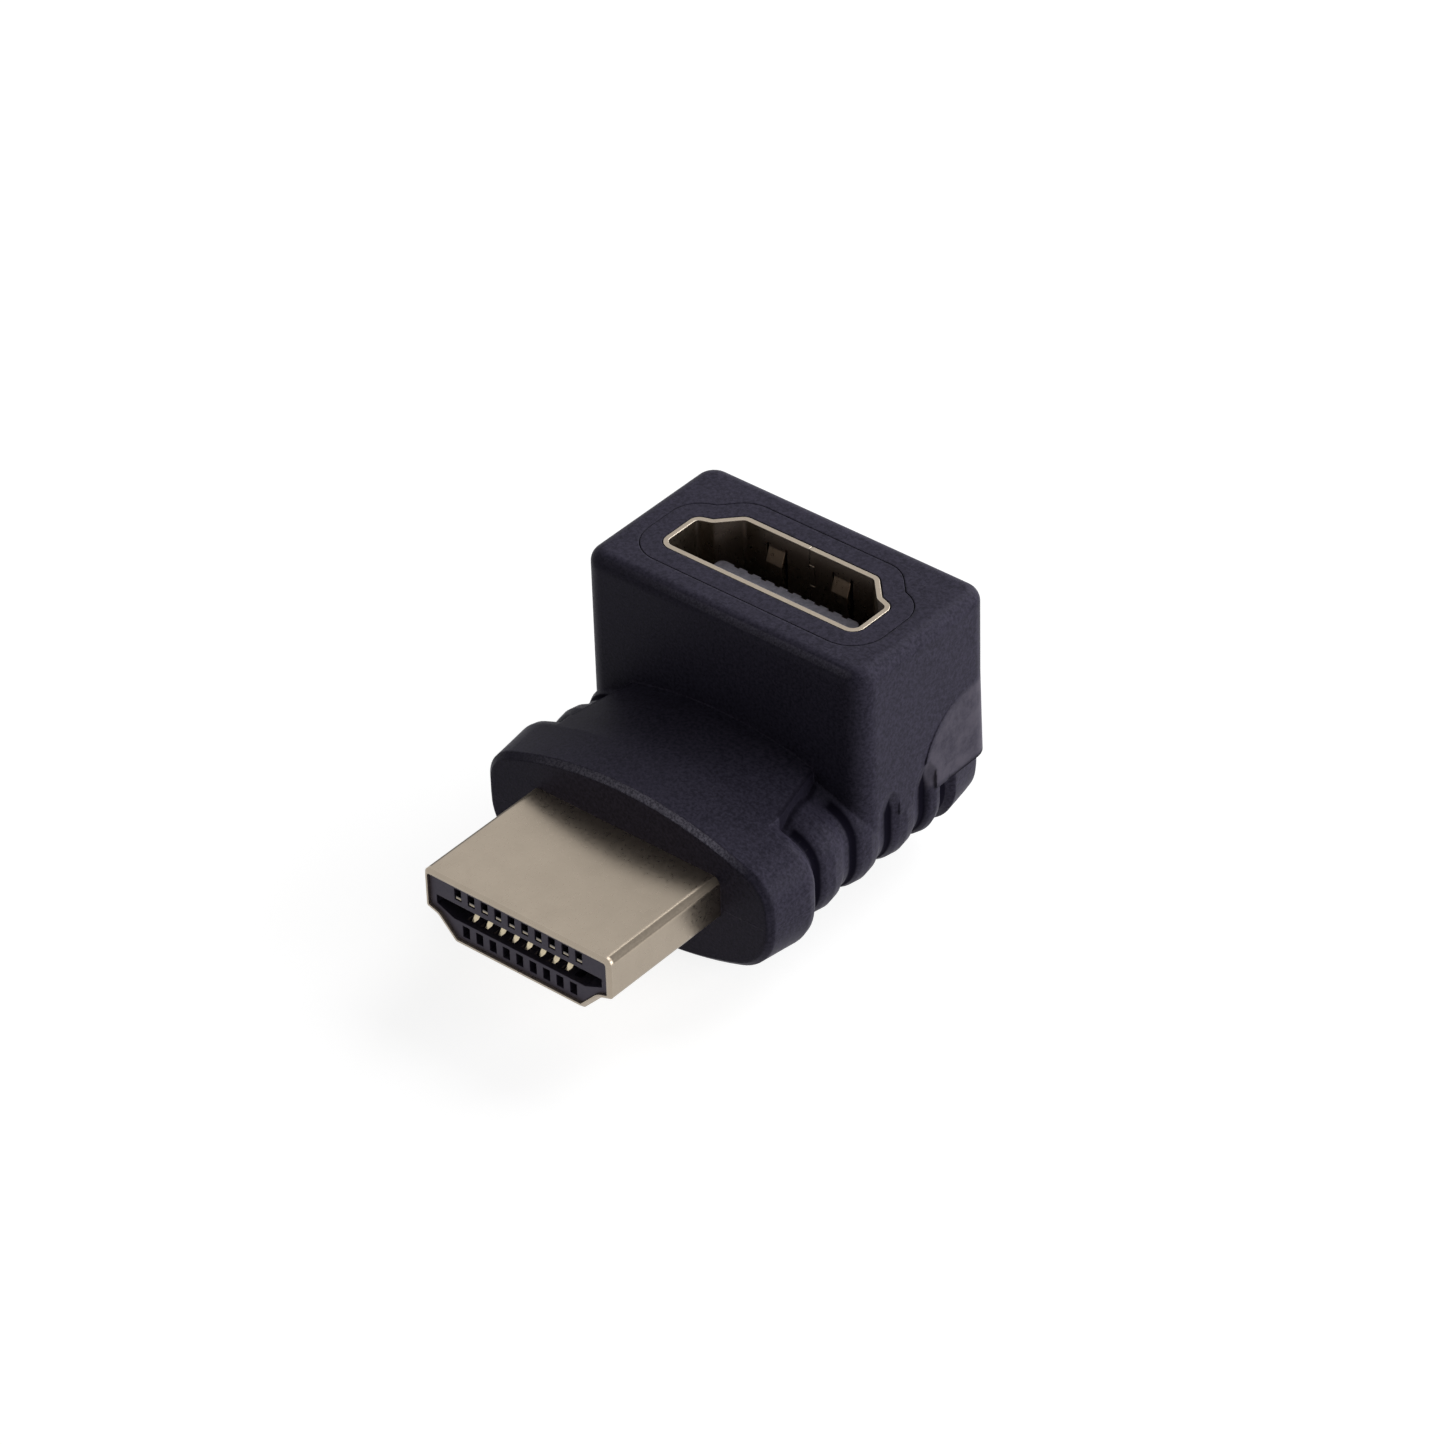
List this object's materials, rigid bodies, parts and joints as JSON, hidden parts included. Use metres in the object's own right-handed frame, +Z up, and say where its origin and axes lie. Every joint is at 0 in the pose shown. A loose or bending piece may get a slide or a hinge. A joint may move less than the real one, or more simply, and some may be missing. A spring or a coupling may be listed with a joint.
{
  "type": "right angle hdmi adapter",
  "caption": "Right angle video adapter: a flat plug at the front and a socket that opens upward, in one ribbed moulded elbow body.",
  "frame": {"origin": "centre of the bounding box's underside, level with the lowest line of the crowned body", "axes": "+Z up along the socket's axis, out of its mouth; -Y forward along the plug's axis; X across both connectors"},
  "size_m": [0.0218, 0.0298, 0.0177],
  "materials": {
    "outer_moulding": "fine matt grain",
    "inner_moulding": "matt",
    "plated_shell": "satin nickel plate",
    "plug_resin": "semi-matt",
    "tongue_resin": "semi-matt",
    "board_laminate": "satin",
    "gold_contact": "gold flash"
  },
  "bodies": {
    "root": {"outer_body": "outer_moulding", "inner_mould": "inner_moulding", "plug_shell": "plated_shell", "socket_shell": "plated_shell", "plug_insulator": "plug_resin", "socket_insulator": "tongue_resin", "circuit_board": "board_laminate", "plug_contact_upper_01": "gold_contact", "plug_contact_upper_02": "gold_contact", "plug_contact_upper_03": "gold_contact", "plug_contact_upper_04": "gold_contact", "plug_contact_upper_05": "gold_contact", "plug_contact_upper_06": "gold_contact", "plug_contact_upper_07": "gold_contact", "plug_contact_upper_08": "gold_contact", "plug_contact_upper_09": "gold_contact", "plug_contact_upper_10": "gold_contact", "plug_contact_lower_01": "gold_contact", "plug_contact_lower_02": "gold_contact", "plug_contact_lower_03": "gold_contact", "plug_contact_lower_04": "gold_contact", "plug_contact_lower_05": "gold_contact", "plug_contact_lower_06": "gold_contact", "plug_contact_lower_07": "gold_contact", "plug_contact_lower_08": "gold_contact", "plug_contact_lower_09": "gold_contact", "socket_contact_front_01": "gold_contact", "socket_contact_front_02": "gold_contact", "socket_contact_front_03": "gold_contact", "socket_contact_front_04": "gold_contact", "socket_contact_front_05": "gold_contact", "socket_contact_front_06": "gold_contact", "socket_contact_front_07": "gold_contact", "socket_contact_front_08": "gold_contact", "socket_contact_front_09": "gold_contact", "socket_contact_front_10": "gold_contact", "socket_contact_back_01": "gold_contact", "socket_contact_back_02": "gold_contact", "socket_contact_back_03": "gold_contact", "socket_contact_back_04": "gold_contact", "socket_contact_back_05": "gold_contact", "socket_contact_back_06": "gold_contact", "socket_contact_back_07": "gold_contact", "socket_contact_back_08": "gold_contact", "socket_contact_back_09": "gold_contact"}
  },
  "joints": []
}
